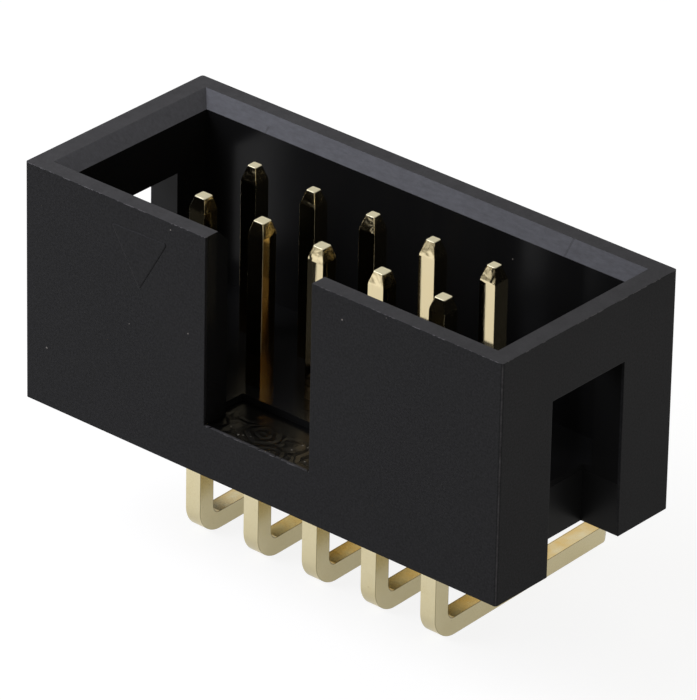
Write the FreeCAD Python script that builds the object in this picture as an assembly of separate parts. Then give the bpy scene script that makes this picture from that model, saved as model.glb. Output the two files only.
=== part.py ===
import FreeCAD, Part
import math
import os

# Right-angle pin header with a moulded shroud, two rows of contacts.
# Millimetres. X runs along the rows, -Y is the side with the keying notch, +Z is out of the mouth.
# Origin: middle of the contact grid, in the plane of the housing's lower edge.

# Contact grid
pitch = 2.54
columns = 5

# Housing, outside
end_margin = 5.0            # outermost contact axis to the outer end face
housing_width = 8.56
housing_height = 8.66
corner_radius = 0.1         # upright outer edges

# Housing, inside
side_wall = 1.08
end_wall = 1.17
mouth_bevel = 0.475         # 45 degree lead-in round the mouth
floor_height = 2.1          # top of the base, which is flush with the walls' lower edge

# Keying notch, with the shallow recess of the floor behind it
notch_width = 4.5
notch_floor = 1.85
recess_width = 4.94
recess_reach = 1.06         # from the wall's inner face into the cavity

# Slots in the end walls, open at the bottom
slot_width = 3.55
slot_top = 6.35
slot_depth = 1.53           # from the outer end face to the end of the base

# Contacts, square wire
wire = 0.64
wire_edge = 0.04            # bevel of the wire's long edges
hole_clearance = 0.01       # per side, between the wire and its hole in the base
notch_row_tip = 8.03        # height of the tips beside the notch
notch_row_flat = 0.43       # side of the small flat at the end of those tips
notch_row_taper = 0.42
back_row_tip = 8.20         # height of the tips beside the back wall
back_row_flat = 0.35
back_row_taper = 0.52
bend_radius = 0.64          # to the middle of the wire
bend_angle = 91.5           # the tails are bent slightly past square
far_holes = 4.0             # board holes of the notch row, below the housing's lower edge
tail_projection = 3.0       # past the housing's back face, through the board
tail_flat = 0.36
tail_taper = 0.25

# Worked out
housing_length = (columns - 1) * pitch + 2 * end_margin
cavity_length = housing_length - 2 * end_wall
cavity_width = housing_width - 2 * side_wall
back_face = housing_width / 2
near_holes = far_holes - pitch

Vector = FreeCAD.Vector


def block(x_range, y_range, z_range):
    """Box between two values on each axis."""
    size = [high - low for low, high in (x_range, y_range, z_range)]
    return Part.makeBox(*size, Vector(x_range[0], y_range[0], z_range[0]))


def centred(width):
    """Range of a width that is centred on zero."""
    return (-width / 2, width / 2)


def rectangle(length, width, z):
    """Closed rectangular wire round the Z axis at a height."""
    x, y = length / 2, width / 2
    corners = [Vector(-x, -y, z), Vector(x, -y, z), Vector(x, y, z), Vector(-x, y, z)]
    return Part.makePolygon(corners + corners[:1])


def wire_section(side, edge, z):
    """Closed wire of a square with bevelled corners, round the Z axis at a height."""
    half = side / 2
    reach = half - edge
    corners = []
    for quarter in range(4):
        turn = FreeCAD.Rotation(Vector(0, 0, 1), 90 * quarter)
        for x, y in ((half, reach), (reach, half)):
            corners.append(turn.multVec(Vector(x, y, z)))
    return Part.makePolygon(corners + corners[:1])


def outer_body():
    """Solid block of the housing with its upright edges rounded."""
    body = block(centred(housing_length), centred(housing_width), (0, housing_height))
    upright = [e for e in body.Edges if abs(e.tangentAt(e.FirstParameter).z) > 0.5]
    return body.makeFillet(corner_radius, upright)


def cavity():
    """Space for the plug: a straight pocket with a bevel round its mouth."""
    pocket = block(centred(cavity_length), centred(cavity_width), (floor_height, housing_height))
    low = rectangle(cavity_length, cavity_width, housing_height - mouth_bevel)
    high = rectangle(cavity_length + 2 * mouth_bevel, cavity_width + 2 * mouth_bevel, housing_height)
    return pocket.fuse(Part.makeLoft([low, high], True, True))


def keying_notch():
    """Gap in the wall for the plug's key, and the floor recess flush with its bottom."""
    wall_inside = -cavity_width / 2
    gap = block(centred(notch_width), (-housing_width, wall_inside), (notch_floor, housing_height))
    recess = block(centred(recess_width), (wall_inside, wall_inside + recess_reach), (notch_floor, floor_height))
    return gap.fuse(recess)


def end_slot(side):
    """Slot through one end wall and the end of the base, open at the bottom."""
    outside = side * housing_length / 2
    inside = side * (housing_length / 2 - slot_depth)
    return block(sorted((inside, outside)), centred(slot_width), (0, slot_top))


def contact_places():
    """Number, X, Y, tip and board hole drop of every contact; odd numbers stand beside the notch.
    The tip is given as its height, its flat and the length of its taper."""
    places = []
    for column in range(columns):
        x = (column - (columns - 1) / 2) * pitch
        notch_row = (notch_row_tip, notch_row_flat, notch_row_taper)
        back_row = (back_row_tip, back_row_flat, back_row_taper)
        places.append((2 * column + 1, x, -pitch / 2, notch_row, far_holes))
        places.append((2 * column + 2, x, pitch / 2, back_row, near_holes))
    return places


def make_housing():
    """The moulded housing: shroud and base in one piece."""
    cuts = [cavity(), keying_notch(), end_slot(-1), end_slot(1)]
    hole = wire + 2 * hole_clearance
    for number, x, y, tip, hole_drop in contact_places():
        opening = block(centred(hole), centred(hole), (0, floor_height))
        opening.translate(Vector(x, y, 0))
        cuts.append(opening)
    return outer_body().cut(cuts).removeSplitter()


def tapered_end(flat, taper):
    """Coined end of the wire, from the full section at zero up to a small flat."""
    full = wire_section(wire, wire_edge, 0)
    small = wire_section(flat, wire_edge * flat / wire, taper)
    return Part.makeLoft([full, small], True, True)


def make_contact(x, y, tip, hole_drop):
    """One contact: coined tip, upright shank, bend, and a tail through its board hole."""
    turn = math.radians(bend_angle)
    bend_end = Vector(0, bend_radius * (1 - math.cos(turn)), -bend_radius * math.sin(turn))
    to_board = back_face - y - bend_end.y
    bend_top = -hole_drop - bend_end.z + to_board / math.tan(turn)

    tip_height, tip_flat, tip_taper = tip
    shank_top = tip_height - tip_taper
    shank = Part.Face(wire_section(wire, wire_edge, bend_top)).extrude(Vector(0, 0, shank_top - bend_top))
    point = tapered_end(tip_flat, tip_taper)
    point.translate(Vector(0, 0, shank_top))

    pivot = Vector(0, bend_radius, bend_top)
    along_x = Vector(1, 0, 0)
    bend = Part.Face(wire_section(wire, wire_edge, bend_top)).revolve(pivot, along_x, bend_angle)

    tail_length = (to_board + tail_projection) / math.sin(turn) - tail_taper
    tail = Part.Face(wire_section(wire, wire_edge, 0)).extrude(Vector(0, 0, tail_length))
    tail_end = tapered_end(tail_flat, tail_taper)
    tail_end.translate(Vector(0, 0, tail_length))
    for piece in (tail, tail_end):
        piece.rotate(Vector(0, 0, 0), along_x, 180 + bend_angle)
        piece.translate(bend_end + Vector(0, 0, bend_top))

    contact = shank.fuse([point, bend, tail, tail_end]).removeSplitter()
    contact.translate(Vector(x, y, 0))
    return contact


os.makedirs("parts", exist_ok=True)
make_housing().exportStep("parts/housing.step")
for number, x, y, tip, hole_drop in contact_places():
    make_contact(x, y, tip, hole_drop).exportStep(f"parts/contact_{number:02d}.step")
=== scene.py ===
import math

import bpy
import numpy as np
from mathutils import Matrix, Vector


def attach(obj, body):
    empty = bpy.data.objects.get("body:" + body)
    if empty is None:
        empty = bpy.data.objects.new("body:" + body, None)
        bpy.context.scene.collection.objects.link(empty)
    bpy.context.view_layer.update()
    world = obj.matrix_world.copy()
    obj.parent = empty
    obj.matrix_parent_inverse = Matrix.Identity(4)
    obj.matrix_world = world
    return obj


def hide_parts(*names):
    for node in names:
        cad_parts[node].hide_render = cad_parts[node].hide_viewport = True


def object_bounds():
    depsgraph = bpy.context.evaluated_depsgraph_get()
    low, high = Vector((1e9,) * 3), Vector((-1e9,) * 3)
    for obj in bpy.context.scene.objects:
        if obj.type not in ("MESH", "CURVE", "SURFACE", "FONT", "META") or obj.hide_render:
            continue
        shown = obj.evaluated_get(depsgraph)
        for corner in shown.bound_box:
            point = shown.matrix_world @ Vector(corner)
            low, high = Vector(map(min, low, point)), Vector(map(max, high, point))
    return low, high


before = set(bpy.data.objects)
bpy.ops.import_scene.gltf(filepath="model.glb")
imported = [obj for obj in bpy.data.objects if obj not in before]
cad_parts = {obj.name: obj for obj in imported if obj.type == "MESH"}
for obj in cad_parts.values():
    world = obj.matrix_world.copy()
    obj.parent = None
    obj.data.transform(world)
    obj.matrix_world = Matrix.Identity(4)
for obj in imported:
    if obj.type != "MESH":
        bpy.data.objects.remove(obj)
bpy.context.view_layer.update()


# Camera and studio.
# A long lens looks down into the mouth of the header from its right front
# corner. The header stands on a large pale table, between a big soft window on
# its front left and a weaker reflector behind it.

def linear(hexcode):
    """An sRGB hex value as linear colour: each channel is divided by 12.92 near
    black, and above that is raised to 2.4 after an offset of 0.055."""
    c = np.array([int(hexcode[i:i + 2], 16) for i in (1, 3, 5)]) / 255
    c = np.where(c <= 0.04045, c / 12.92, ((c + 0.055) / 1.055) ** 2.4)
    return (*[float(v) for v in c], 1.0)


azimuth, elevation, roll = (math.radians(a) for a in (40.505, 28.52, 1.126))
back = Vector((math.sin(azimuth) * math.cos(elevation),
               -math.cos(azimuth) * math.cos(elevation), math.sin(elevation)))
level = Vector((math.cos(azimuth), math.sin(azimuth), 0.0))
upright = back.cross(level)
right = math.cos(roll) * level + math.sin(roll) * upright
up = -math.sin(roll) * level + math.cos(roll) * upright
camera_place = (0.14141, -0.16536, 0.12198)
camera_data = bpy.data.cameras.new("camera")
camera_data.lens = 395.1
camera_data.sensor_width = 36.0
camera_data.clip_start = 0.01
camera = bpy.data.objects.new("camera", camera_data)
camera.matrix_world = Matrix.Translation(camera_place) @ Matrix(
    (right, up, back)).transposed().to_4x4()
bpy.context.scene.collection.objects.link(camera)
bpy.context.scene.camera = camera
bpy.context.scene.view_settings.view_transform = "Standard"

world = bpy.data.worlds.new("studio")
world.use_nodes = True
world.node_tree.nodes["Background"].inputs["Color"].default_value = linear("#fffdfa")
world.node_tree.nodes["Background"].inputs["Strength"].default_value = 0.42
bpy.context.scene.world = world

for name, position, size, energy, tint in [
        ("window", (-0.0742, -0.0619, 0.0871), (0.106, 0.089), 0.156, "#f1f3ff"),
        ("reflector", (0.0, 0.17, 0.135), (0.34, 0.135), 0.045, "#fffaf2")]:
    panel_data = bpy.data.lights.new(name, "AREA")
    panel_data.shape = "ELLIPSE"
    panel_data.size, panel_data.size_y = size
    panel_data.energy = energy
    panel_data.color = linear(tint)[:3]
    panel = bpy.data.objects.new(name, panel_data)
    panel.matrix_world = Matrix.Translation(position) @ (
        Vector(position).to_track_quat("Z", "Y").to_matrix().to_4x4())
    bpy.context.scene.collection.objects.link(panel)

table_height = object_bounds()[0][2]
table_reach = 2.0
table_mesh = bpy.data.meshes.new("table")
table_mesh.from_pydata([(x * table_reach, y * table_reach, table_height)
                        for x, y in ((-1, -1), (1, -1), (1, 1), (-1, 1))], [], [(0, 1, 2, 3)])
table = bpy.data.objects.new("table", table_mesh)
bpy.context.scene.collection.objects.link(table)


def node(kind, *inputs, **settings):
    """Adds one node to the material in hand. A setting goes to the property, or
    else to the input, of that name, and the rest go to the inputs in order. Each
    is a value, a hex colour, an output, or a node for its first output."""
    made = tree.nodes.new("ShaderNode" + kind)
    for name in [key for key in settings if hasattr(made, key)]:
        setattr(made, name, settings.pop(name))
    given = list(zip([socket for socket in made.inputs if socket.enabled], inputs))
    given += [(made.inputs[name.replace("_", " ")], value) for name, value in settings.items()]
    for socket, value in given:
        if isinstance(value, bpy.types.Node):
            value = next(output for output in value.outputs if output.enabled)
        if isinstance(value, bpy.types.NodeSocket):
            tree.links.new(value, socket)
        else:
            socket.default_value = linear(value) if isinstance(value, str) else value
    return made


# The camera sees the table nearly white, with the header's shadow on it, and
# the gold mirrors a third of that white.
paper = bpy.data.materials.new("pale table paper")
paper.use_nodes = True
tree = paper.node_tree
tree.nodes.clear()
seen_white, mirrored_white, white_level = 0.80, 0.33, 1.08
ray = node("LightPath")
mirrored = node("Math", ray.outputs["Is Glossy Ray"], ray.outputs["Is Transmission Ray"],
                operation="MAXIMUM")
mirrored = node("Math", mirrored, mirrored_white, operation="MULTIPLY")
share = node("Math", ray.outputs["Is Camera Ray"], seen_white, mirrored, operation="MULTIPLY_ADD")
matt = node("BsdfDiffuse", Color="#f6f5f2")
white = node("Emission", Color="#ffffff", Strength=white_level)
node("OutputMaterial", node("MixShader", share, matt, white))
table.data.materials.append(paper)


# Housing.
# One injection moulding in black glass-filled polyester. The outside comes
# from a spark-eroded mould and is satin, the lead-in round the mouth is half
# matt, and the cavity, notch and slots come from a polished core and are glossy.

moulding = bpy.data.materials.new("black moulded polyester")
moulding.use_nodes = True
tree = moulding.node_tree
tree.nodes.clear()
place = node("TexCoord").outputs["Object"]
x, y, z = node("SeparateXYZ", place).outputs

# Its faces are told apart by where they lie, in metres, and by how far they look up.
half_length, half_width, housing_height = 0.01008, 0.00428, 0.00866
mouth_bevel, notch_floor = 0.000475, 0.00185
corner_radius, corner_width = 0.0001, 0.00005
edge_margin, floor_margin, rim_margin = 0.000005, 0.00002, 0.00006
far_x = node("Math", x, operation="ABSOLUTE")
far_y = node("Math", y, operation="ABSOLUTE")
out_x = node("Math", far_x, half_length - corner_radius - edge_margin, operation="GREATER_THAN")
out_y = node("Math", far_y, half_width - corner_radius - edge_margin, operation="GREATER_THAN")
walls = node("Math", out_x, out_y, operation="MAXIMUM")
facing = node("NewGeometry").outputs["Normal"]
upward = node("SeparateXYZ", facing).outputs["Z"]
upward = node("Math", upward, 0.0, operation="MAXIMUM")
top = node("Math", z, housing_height - rim_margin, operation="GREATER_THAN")
level_face = node("Math", upward, 0.9, operation="GREATER_THAN")
rim = node("Math", top, level_face, operation="MULTIPLY")
outside = node("Math", walls, rim, operation="MAXIMUM")
mouth = node("Math", z, housing_height - mouth_bevel + edge_margin, operation="GREATER_THAN")
sloping = node("Math", upward, outside, operation="SUBTRACT")
sloping = node("Math", sloping, 0.3, operation="GREATER_THAN")
lead_in = node("Math", mouth, sloping, operation="MULTIPLY")
grained = node("Math", outside, lead_in, operation="MAXIMUM")
recess = node("Math", z, notch_floor + floor_margin, operation="LESS_THAN")
sill = node("Math", upward, 0.5, operation="GREATER_THAN")
sill = node("Math", recess, sill, operation="MULTIPLY")

# A pattern's scale is 1000 over its size in millimetres. Spark erosion leaves
# pits of about 0.03 mm; they are drawn at 0.07 mm to show.
pits = node("TexNoise", place, Scale=1000 / 0.07, Detail=3.0, Roughness=0.6)
skin = node("Math", pits, 2.6, -0.8, operation="MULTIPLY_ADD")
skin = node("Mix", skin, "#0f0f10", "#202021", data_type="RGBA")
# The lead-in keeps fine marks of the cutter that made the core, along its
# length. Its bluish grey, lighter towards the left, is painted window sheen.
stretched = node("Mapping", place, Scale=(0.35, 1.0, 1.0))
cutter_marks_and_sheen = node("TexNoise", stretched, Scale=1000 / 0.12, Detail=4.0, Roughness=0.7)
cutter_marks_and_sheen = node("Math", cutter_marks_and_sheen, 1.9, -0.5, operation="MULTIPLY_ADD")
cutter_marks_and_sheen = node("Math", x, -25.0, cutter_marks_and_sheen, operation="MULTIPLY_ADD")
bevel = node("Mix", cutter_marks_and_sheen, "#353538", "#4a4b50", data_type="RGBA")
# The core's middle insert leaves a fine line at each of its ends, half a pitch
# past the outer contacts; on the left the line stops half way up.
insert_end, joint_half, joint_top = 2.5 * 0.00254, 0.00004, 0.00836
joint = node("Math", far_x, insert_end, joint_half, operation="COMPARE")
right_end = node("Math", x, 0.0, operation="GREATER_THAN")
low_part = node("Math", z, joint_top, operation="LESS_THAN")
reached = node("Math", right_end, low_part, operation="MAXIMUM")
joint = node("Math", joint, reached, operation="MULTIPLY")
uneven = node("Math", pits, 1.2, operation="MULTIPLY")
joint = node("Math", joint, uneven, operation="MULTIPLY")
bevel = node("Mix", joint, bevel, "#1b1b1c", data_type="RGBA")
# The notch floor is painted darker than the rest of the core: painted shade.
core = node("Mix", sill, "#131313", "#050505", data_type="RGBA")
core = node("Mix", lead_in, core, bevel, data_type="RGBA")
colour = node("Mix", outside, core, skin, data_type="RGBA")
# A veil of dust and handling lies on what looks up. It is partly painted
# light: heavier on what looks up and towards the left, where the window shines.
dust_and_painted_light = node("TexNoise", place, Scale=1000 / 0.5, Detail=6.0, Roughness=0.7)
dust_and_painted_light = node("Math", dust_and_painted_light, 0.2, 0.10, operation="MULTIPLY_ADD")
dust_and_painted_light = node("Math", upward, dust_and_painted_light, operation="MULTIPLY")
# Painted light: the veil grows towards the left, as the window's light does.
painted_window_falloff = node("Math", x, -16.0, 0.88, operation="MULTIPLY_ADD")
dust_and_painted_light = node("Math", dust_and_painted_light, painted_window_falloff, operation="MULTIPLY")
dust_and_painted_light = node("Math", dust_and_painted_light, grained, operation="MULTIPLY")
colour = node("Mix", dust_and_painted_light, colour, "#767577", data_type="RGBA")

# The outer edges are rounded by 0.04 mm. Flash and rubbed spots whiten them at
# the rim and at the notch, and only where the edge looks up, which makes them
# partly painted highlights; the upright corners are whitened a little in patches.
rounded = node("Bevel", samples=6, Radius=0.00004)
rounded = node("Mix", outside, facing, rounded, data_type="VECTOR")
rounding = node("VectorMath", rounded, facing, operation="DOT_PRODUCT")
on_edge = node("Math", rounding, 0.985, operation="LESS_THAN")
# Only edges that look up are whitened: a painted highlight.
edge_up = node("SeparateXYZ", rounded).outputs["Z"]
edge_up = node("Math", edge_up, 0.2, operation="GREATER_THAN")
on_edge = node("Math", on_edge, edge_up, operation="MULTIPLY")
end_of_wall = node("Math", top, recess, operation="MAXIMUM")
end_of_wall = node("Math", walls, end_of_wall, operation="MULTIPLY")
on_edge = node("Math", on_edge, end_of_wall, operation="MULTIPLY")
corner_x = node("Math", far_x, half_length - corner_width, operation="GREATER_THAN")
corner_y = node("Math", far_y, half_width - corner_width, operation="GREATER_THAN")
corner = node("Math", corner_x, corner_y, operation="MULTIPLY")
edge_patches = node("TexNoise", place, Scale=1000 / 0.35, Detail=5.0, Roughness=0.75)
flash_and_painted_highlight = node("Math", edge_patches, 0.53, operation="GREATER_THAN")
flash_and_painted_highlight = node("Math", on_edge, flash_and_painted_highlight, operation="MULTIPLY")
flash_and_painted_highlight = node("Math", flash_and_painted_highlight, 0.35, operation="MULTIPLY")
pale_edges_and_painted_highlight = node("Math", edge_patches, 0.5, -0.15, operation="MULTIPLY_ADD")
pale_edges_and_painted_highlight = node("Math", corner, pale_edges_and_painted_highlight, operation="MULTIPLY")
pale_edges_and_painted_highlight = node("Math", flash_and_painted_highlight, pale_edges_and_painted_highlight, operation="MAXIMUM")
colour = node("Mix", pale_edges_and_painted_highlight, colour, "#8d8a8c", data_type="RGBA")
# Loose specks of up to 0.06 mm, one on every few square millimetres.
specks = node("TexVoronoi", place, Scale=1000 / 0.9)
speck = node("Math", specks.outputs["Distance"], 0.035, operation="LESS_THAN")
chosen = node("SeparateColor", specks.outputs["Color"])
chosen = node("Math", chosen, 0.70, operation="GREATER_THAN")
speck = node("Math", speck, chosen, operation="MULTIPLY")
speck = node("Math", speck, 0.4, operation="MULTIPLY")
colour = node("Mix", speck, colour, "#a8a199", data_type="RGBA")

# The melt has frozen in round swirls of about 1 mm on the front two thirds of
# the notch floor, which fade out over half a millimetre. Their rims are drawn near
# black, and pale spots on them are painted glints.
swirl_end, fade, waver = 0.0027, 0.0005, 0.0004
wavy = node("TexNoise", place, Scale=1000 / 0.5, Detail=1.0).outputs["Color"]
wavy = node("VectorMath", wavy, (waver, waver, waver), place, operation="MULTIPLY_ADD")
swirls = node("TexVoronoi", wavy, Scale=1000 / 1.2)
rings = node("Math", swirls, 0.13, operation="PINGPONG")
front = node("Math", y, -1 / fade, -swirl_end / fade, operation="MULTIPLY_ADD", use_clamp=True)
frozen = node("Math", sill, front, operation="MULTIPLY")
ripple = node("Math", rings, 0.02, operation="LESS_THAN")
ripple = node("Math", ripple, frozen, operation="MULTIPLY")
colour = node("Mix", ripple, colour, "#020202", data_type="RGBA")
# Painted glints: pale spots on the swirls.
painted_glint = node("TexNoise", place, Scale=1000 / 0.16, Detail=2.0)
painted_glint = node("Math", painted_glint, 0.72, operation="GREATER_THAN")
painted_glint = node("Math", painted_glint, frozen, operation="MULTIPLY")
painted_glint = node("Math", painted_glint, 0.6, operation="MULTIPLY")
colour = node("Mix", painted_glint, colour, "#8b8880", data_type="RGBA")

# Roughness is 0.20 from the polished core, 0.38 in the recess, 0.50 on the
# lead-in and on the outside. There the melt's flow, in streaks a few
# millimetres long, changes the sheen a little.
flow = node("TexNoise", place, Scale=1000 / 4.0, Detail=4.0, Distortion=0.6)
flow = node("Math", flow, outside, operation="MULTIPLY")
satin = node("Math", outside, 0.50, operation="MULTIPLY")
dull = node("Math", recess, 0.38, operation="MULTIPLY")
half_matt = node("Math", lead_in, 0.30, 0.20, operation="MULTIPLY_ADD")
sheen = node("Math", satin, dull, operation="MAXIMUM")
sheen = node("Math", sheen, half_matt, operation="MAXIMUM")
sheen = node("Math", flow, 0.10, sheen, operation="MULTIPLY_ADD")
# Pits, then the sinking of the thick base as it cooled, then the swirls.
pitted = node("Math", grained, 0.5, 0.02, operation="MULTIPLY_ADD")
relief = node("Bump", Distance=0.000006, Height=pits, Strength=pitted, Normal=rounded)
sinking = node("TexNoise", place, Scale=1000 / 2.2, Detail=1.0)
relief = node("Bump", Distance=0.00002, Height=sinking, Strength=0.5, Normal=relief)
relief = node("Bump", Distance=0.00015, Height=rings, Strength=frozen, Normal=relief)
surface = node("BsdfPrincipled", IOR=1.5, Specular_IOR_Level=0.11,
               Base_Color=colour, Roughness=sheen, Normal=relief)
node("OutputMaterial", surface)
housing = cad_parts["housing"]
housing.data.materials.clear()
housing.data.materials.append(moulding)


# Contacts.
# Ten pieces of 0.64 mm square wire in copper alloy, coined to a point at both
# ends, flash plated in gold over nickel, pressed into the floor of the housing
# and then bent square towards the board.

# Sizes are in millimetres.
pitch = 2.54
wire_half, wire_round = 0.32, 0.004
bend_radius, bend_turn = 0.64, math.radians(91.5)
back_face, tail_projection = 4.28, 3.0
tail_flat, tail_taper = 0.36, 0.25
floor_height = 2.1


def section(half, radius, steps=5):
    """The rounded square, once round: four quarter circles of the given radius
    about corners set in from the half width, each with its outward direction."""
    angle = np.linspace(0, np.pi / 2, steps)[None, :] + np.arange(4)[:, None] * np.pi / 2
    angle = angle.ravel()
    centre = np.repeat(np.array([[1, 1], [-1, 1], [-1, -1], [1, -1]]), steps, axis=0)
    outward = np.stack([np.cos(angle), np.sin(angle)], axis=1)
    return centre * (half - radius)[:, None, None] + outward * radius[:, None, None], outward


def coined(flat, taper, rim=0.02, crease=0.05):
    """Distance from the wire's end, half width and outward tilt: a quarter round
    at the rim, a straight taper, and a crease where the full width begins."""
    slope = math.atan2(wire_half - flat / 2, taper)
    turn = np.linspace(0, np.pi / 2 - slope, 5)
    distance = np.concatenate([rim * (1 - np.cos(turn)), [taper - crease, taper + crease]])
    half = np.concatenate([flat / 2 - rim + rim * np.sin(turn),
                           [wire_half - crease * math.tan(slope), wire_half]])
    tilt = np.concatenate([np.pi / 2 - turn, [slope, 0.0]])
    return distance, half, tilt


def wire_surface(x, y, tip, tip_flat, tip_taper, hole_drop, lean, twist):
    """The section carried along the wire, tip first. Distance s runs down the
    shank, round the bend and along the tail; the bend turns the direction of
    travel from -Z towards +Y in proportion to s. Both ends shrink in a straight
    taper to a small flat with a rounded rim. Above the floor the shank leans and
    twists a little, in proportion to height."""
    bend_reach = bend_radius * (1 - math.cos(bend_turn))
    bend_sink = bend_radius * math.sin(bend_turn)
    to_board = back_face - y - bend_reach
    bend_top = -hole_drop + bend_sink + to_board / math.tan(bend_turn)
    shank = tip - bend_top
    bend_end = shank + bend_radius * bend_turn
    total = bend_end + (to_board + tail_projection) / math.sin(bend_turn)

    # Rings stand close together only at both ends and round the bend.
    below_point, beside_bend, before_tail_end = 0.7, 0.05, 0.35
    tip_s, tip_half, tip_tilt = coined(tip_flat, tip_taper)
    tail_s, tail_half, tail_tilt = coined(tail_flat, tail_taper)
    middle = np.concatenate([
        np.linspace(below_point, shank - beside_bend, 12),
        np.linspace(shank, bend_end, 26),
        np.linspace(bend_end + beside_bend, total - before_tail_end, 6)])
    s = np.concatenate([tip_s, middle, total - tail_s[::-1]])
    half = np.concatenate([tip_half, np.full(middle.size, wire_half), tail_half[::-1]])
    tilt = np.concatenate([tip_tilt, np.zeros(middle.size), -tail_tilt[::-1]])
    # The punch leaves the point's edges rounder than the drawn wire's.
    punched = np.clip(1 - s / tip_taper, 0, 1)
    point_round = 0.28 * tip_half[4]
    radius = wire_round + (point_round - wire_round) * punched

    turned = np.clip((s - shank) / bend_radius, 0, bend_turn)
    past = np.clip(s - bend_end, 0, None)
    zero = np.zeros_like(s)
    along = np.stack([zero, np.sin(turned), -np.cos(turned)], axis=1)
    inward = np.stack([zero, np.cos(turned), np.sin(turned)], axis=1)
    middle_line = np.stack([
        zero + x, y + bend_radius * (1 - np.cos(turned)),
        tip - np.clip(s, None, shank) - bend_radius * np.sin(turned)], axis=1)
    middle_line += past[:, None] * along
    height = np.clip((middle_line[:, 2] - floor_height) / (tip - floor_height), 0, None)
    middle_line[:, 1] += lean * height

    # The wire spreads by a twentieth on the inside of the bend.
    ring, outward = section(half, radius)
    spread, onset = 0.05, 0.1
    round_bend = np.clip((s - shank + onset) / (bend_end - shank + 2 * onset), 0, 1)
    bulge = spread * np.sin(np.pi * round_bend) ** 2
    wide = ring[..., 0] * (1 + bulge[:, None] * ring[..., 1] / wire_half)
    angle = math.radians(twist) * np.clip(height * 3, 0, 1)
    sideways = np.stack([np.cos(angle), np.sin(angle), zero], axis=1)
    inward = inward + np.stack([-np.sin(angle), np.cos(angle) - 1, zero], axis=1)
    points = (middle_line[:, None] + wide[..., None] * sideways[:, None]
              + ring[..., 1:] * inward[:, None])
    across = outward[None, :, :1] * sideways[:, None] + outward[None, :, 1:] * inward[:, None]
    normals = np.cos(tilt)[:, None, None] * across - np.sin(tilt)[:, None, None] * along[:, None]
    return s, points, normals, along


def close_surface(name, s, points, normals, along):
    """A mesh from a grid of rings: quads between neighbours, and a fan to a
    middle point at each end. Its map is distance along and round the wire."""
    count, around = points.shape[:2]
    index = np.arange(count * around).reshape(count, around)
    following = np.roll(index, -1, axis=1)
    quads = np.stack([index[:-1], index[1:], following[1:], following[:-1]], axis=-1)
    first, last = count * around, count * around + 1
    fans = [(first, int(a), int(b)) for a, b in zip(index[0], following[0])]
    fans += [(last, int(b), int(a)) for a, b in zip(index[-1], following[-1])]
    vertices = np.concatenate([points.reshape(-1, 3),
                               points[:1].mean(axis=1), points[-1:].mean(axis=1)])
    mesh = bpy.data.meshes.new(name)
    mesh.from_pydata((vertices / 1000).tolist(), [], quads.reshape(-1, 4).tolist() + fans)

    half_way = points[count // 2]
    steps = np.linalg.norm(np.diff(half_way, axis=0, append=half_way[:1]), axis=1)
    s_grid = np.broadcast_to(s[:, None], (count, around))
    high = np.broadcast_to(np.cumsum(steps), (count, around))
    low = np.broadcast_to(np.concatenate([[0], np.cumsum(steps)[:-1]]), (count, around))
    quad_map = np.stack([
        np.stack([s_grid[:-1], low[:-1]], -1), np.stack([s_grid[1:], low[1:]], -1),
        np.stack([s_grid[1:], high[1:]], -1), np.stack([s_grid[:-1], high[:-1]], -1)], axis=2)
    end_map = np.concatenate([np.full((3 * around, 2), 0.0), np.full((3 * around, 2), s[-1])])
    whole_map = np.concatenate([quad_map.reshape(-1, 2), end_map])
    layer = mesh.uv_layers.new(name="along the wire")
    layer.data.foreach_set("uv", whole_map.astype(np.float32).ravel())
    mesh.polygons.foreach_set("use_smooth", np.ones(len(mesh.polygons), bool))
    mesh.normals_split_custom_set_from_vertices(
        np.concatenate([normals.reshape(-1, 3), -along[:1], along[-1:]]).tolist())
    made = bpy.data.objects.new(name, mesh)
    bpy.context.scene.collection.objects.link(made)
    return made


plating = bpy.data.materials.new("gold flash on drawn wire")
plating.use_nodes = True
tree = plating.node_tree
tree.nodes.clear()
place = node("TexCoord").outputs["Object"]
height = node("SeparateXYZ", place).outputs["Z"]
wire_map = node("UVMap", uv_map="along the wire")
from_tip, round_wire, _ = node("SeparateXYZ", wire_map).outputs
# The gold mirrors its surroundings along the wire, slightly blurred. Drawing has
# left lines about 0.02 mm apart and over 1 mm long; they are drawn 0.05 mm apart.
lines = node("Mapping", wire_map, Scale=(1 / 1.6, 1 / 0.05, 1.0))
lines = node("TexNoise", lines, Scale=1.0, Detail=3.0)
# The coined point is dull and scored, and its cropped end is duller still.
coined_part = node("Math", from_tip, 0.5, operation="LESS_THAN")
cropped_end = node("Math", from_tip, 0.025, operation="LESS_THAN")
# The bath plates slightly thicker and thinner over about 1.5 mm. Near the floor
# of the housing the gold is painted deeper, as painted shade and amber
# reflection deep in the cavity.
bath = node("TexNoise", place, Scale=1000 / 1.5, Detail=2.0)
gold = node("Mix", bath, "#dccb9f", "#dacda8", data_type="RGBA")
painted_cavity_shade = node("Math", height, -1 / 0.002, 2.5, operation="MULTIPLY_ADD", use_clamp=True)
gold = node("Mix", painted_cavity_shade, gold, "#c4a878", data_type="RGBA")
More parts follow.
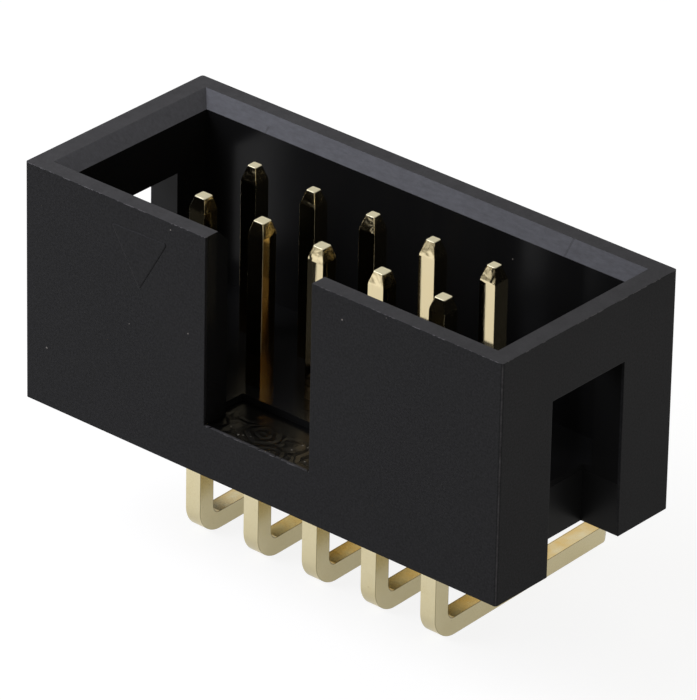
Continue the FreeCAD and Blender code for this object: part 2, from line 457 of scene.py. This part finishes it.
# Below the housing the gold is grainy and painted paler, as a lit copy of the
# gold inside. Amber on the tops of the tails and on the side faces beside the
# housing is painted reflection of the gold and housing around them, and a thin
# dark line is drawn along the edges.
below = node("Math", height, 0.0, operation="LESS_THAN")
painted_lit_leg_gold = node("TexNoise", place, Scale=1000 / 0.8, Detail=3.0)
painted_lit_leg_gold = node("Mix", painted_lit_leg_gold, "#e4d7ab", "#ece2be", data_type="RGBA")
grainy = node("TexNoise", place, Scale=1000 / 0.06, Detail=2.0)
grainy = node("Math", grainy, 0.3, operation="MULTIPLY")
painted_lit_leg_gold = node("Mix", grainy, painted_lit_leg_gold, "#c9b98a", data_type="RGBA")
faces = node("SeparateXYZ", node("NewGeometry").outputs["Normal"]).outputs
top_face = node("Math", faces["Z"], 0.3, operation="GREATER_THAN")
top_face = node("Math", below, top_face, operation="MULTIPLY")
side_face = node("Math", faces["X"], operation="ABSOLUTE")
side_face = node("Math", side_face, 0.5, operation="GREATER_THAN")
beside = node("Math", height, 1 / 0.0014, 1.0, operation="MULTIPLY_ADD")
beside = node("Math", beside, 0.0, operation="MAXIMUM")
beside = node("Math", beside, side_face, operation="MULTIPLY")
painted_amber_reflection = node("Math", top_face, 0.7, beside, operation="MULTIPLY_ADD")
cloudy = node("TexNoise", place, Scale=1000 / 0.9, Detail=3.0, Roughness=0.6)
cloudy = node("Math", cloudy, 3.5, -1.2, operation="MULTIPLY_ADD")
painted_amber_reflection = node("Math", painted_amber_reflection, cloudy, operation="MULTIPLY", use_clamp=True)
painted_amber_reflection = node("Math", painted_amber_reflection, 0.9, operation="MULTIPLY")
# Painted reflection: amber on the tails' tops and beside the housing.
painted_lit_leg_gold = node("Mix", painted_amber_reflection, painted_lit_leg_gold, "#e0b75c", data_type="RGBA")
half_side, line_reach = 0.319, 0.012
line = node("Math", round_wire, half_side, operation="PINGPONG")
line = node("Math", line, line_reach, operation="LESS_THAN")
line = node("Math", line, 0.7, operation="MULTIPLY")
painted_lit_leg_gold = node("Mix", line, painted_lit_leg_gold, "#5f5128", data_type="RGBA")
gold = node("Mix", below, gold, painted_lit_leg_gold, data_type="RGBA")
# A few small brown stains, and bare metal where the end was cropped, painted
# near white as a painted highlight.
stains = node("TexNoise", place, Scale=1000 / 0.12, Detail=4.0, Roughness=0.7)
stains = node("Math", stains, 0.68, operation="GREATER_THAN")
stains = node("Math", stains, 0.35, operation="MULTIPLY")
gold = node("Mix", stains, gold, "#8a6a3a", data_type="RGBA")
gold = node("Mix", cropped_end, gold, "#f0e9c9", data_type="RGBA")

# Roughness is 0.02 to 0.06 on the bright wire. The gold below the housing, the
# coined point and the cropped end add to it, and the tops of the tails take a little off.
shine = node("Math", below, 0.17, 0.02, operation="MULTIPLY_ADD")
shine = node("Math", lines, 0.04, shine, operation="MULTIPLY_ADD")
shine = node("Math", coined_part, 0.08, shine, operation="MULTIPLY_ADD")
shine = node("Math", cropped_end, 0.42, shine, operation="MULTIPLY_ADD")
shine = node("Math", top_face, -0.05, shine, operation="MULTIPLY_ADD")
scored = node("Math", coined_part, 0.5, 0.06, operation="MULTIPLY_ADD")
relief = node("Bump", Distance=0.000004, Height=lines, Strength=scored)
# The punch leaves the tapered faces slightly wavy.
punch = node("TexNoise", place, Scale=1000 / 0.35, Detail=1.0, Roughness=0.4, Distortion=0.5)
wavy = node("Math", coined_part, 0.8, operation="MULTIPLY")
relief = node("Bump", Distance=0.00004, Height=punch, Strength=wavy, Normal=relief)
metal = node("BsdfPrincipled", Metallic=1.0, Base_Color=gold, Roughness=shine, Normal=relief)
node("OutputMaterial", metal)

# Odd contacts stand beside the notch and lean in a little; even ones stand
# beside the back wall. Pressing in has twisted them, by up to 2.5 degrees.
notch_row = {"y": -pitch / 2, "tip": 8.03, "tip_flat": 0.43, "tip_taper": 0.42,
             "hole_drop": 4.0, "lean": 0.06}
back_row = {"y": pitch / 2, "tip": 8.20, "tip_flat": 0.35, "tip_taper": 0.52,
            "hole_drop": 4.0 - pitch, "lean": 0.0}
twists = [0.0, 1.0, 0.0, 2.0, 0.45, 2.5, 0.0, 0.6, 0.0, -0.6]
for number, twist in enumerate(twists, start=1):
    column = (number - 1) // 2 - 2
    row = notch_row if number % 2 else back_row
    name = f"contact_{number:02d}"
    shape = wire_surface(column * pitch, twist=twist, **row)
    contact = close_surface(f"gold_{name}", *shape)
    contact.data.materials.append(plating)
    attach(contact, "root")
    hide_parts(name)


# Mark of the first contact.
# A raised triangle on the notch side, point down towards the first contact. It
# is moulded with the housing, from an engraving in the mould.

corners = np.array([[-6.34, 7.80], [-5.08, 5.75], [-3.85, 7.85]])
notch_side = -4.28


def raised_outline(inset, rounding, steps=7):
    """The triangle's outline moved inwards, with each corner an arc: the arc's
    centre lies on the bisector, so that both sides stay straight between arcs."""
    points = []
    for k in range(3):
        corner, before, after = corners[k], corners[k - 1], corners[(k + 1) % 3]
        one = (before - corner) / np.linalg.norm(before - corner)
        two = (after - corner) / np.linalg.norm(after - corner)
        half_angle = math.acos(float(np.clip(one @ two, -1, 1))) / 2
        bisector = (one + two) / np.linalg.norm(one + two)
        centre = corner + bisector * (inset + rounding) / math.sin(half_angle)
        facing_out = math.atan2(-bisector[1], -bisector[0])
        spread = np.pi / 2 - half_angle
        turn = facing_out + np.linspace(-spread, spread, steps)
        points.append(centre + rounding * np.stack([np.cos(turn), np.sin(turn)], axis=1))
    return np.concatenate(points)


def raised_mark(name, height):
    """Rings of the outline: up the drafted side, over the rounded rim, then to
    the middle of the flat top, and closed below by a flat face just inside the
    wall. The height is measured out of the wall."""
    inset = np.array([0.0, 0.03, 0.045, 0.055, 0.065, 0.07, 0.30])
    rounding = np.array([0.09, 0.08, 0.075, 0.07, 0.06, 0.06, 0.01])
    outward = notch_side - height * np.array([-0.1, 0.7, 0.9, 0.98, 1.0, 1.0, 1.0])
    rings = np.stack([raised_outline(i, r) for i, r in zip(inset, rounding)])
    count, around = rings.shape[:2]
    points = np.stack([rings[..., 0], np.broadcast_to(outward[:, None], (count, around)),
                       rings[..., 1]], axis=-1).reshape(-1, 3)
    (top_x, top_z), (low_x, low_z) = rings[-1].mean(axis=0), rings[0].mean(axis=0)
    middles = [[top_x, outward[-1], top_z], [low_x, outward[0], low_z]]
    above, under = count * around, count * around + 1
    index = np.arange(count * around).reshape(count, around)
    following = np.roll(index, -1, axis=1)
    quads = np.stack([index[:-1], following[:-1], following[1:], index[1:]], axis=-1)
    fans = [(int(a), int(b), above) for a, b in zip(index[-1], following[-1])]
    fans += [(int(b), int(a), under) for a, b in zip(index[0], following[0])]
    mesh = bpy.data.meshes.new(name)
    mesh.from_pydata((np.concatenate([points, middles]) / 1000).tolist(), [],
                     quads.reshape(-1, 4).tolist() + fans)
    mesh.polygons.foreach_set("use_smooth", np.ones(len(mesh.polygons), bool))
    mesh.set_sharp_from_angle(angle=math.radians(60))
    made = bpy.data.objects.new(name, mesh)
    bpy.context.scene.collection.objects.link(made)
    return made


mark = raised_mark("first_contact_mark", 0.010)
mark.data.materials.append(moulding)
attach(mark, "root")
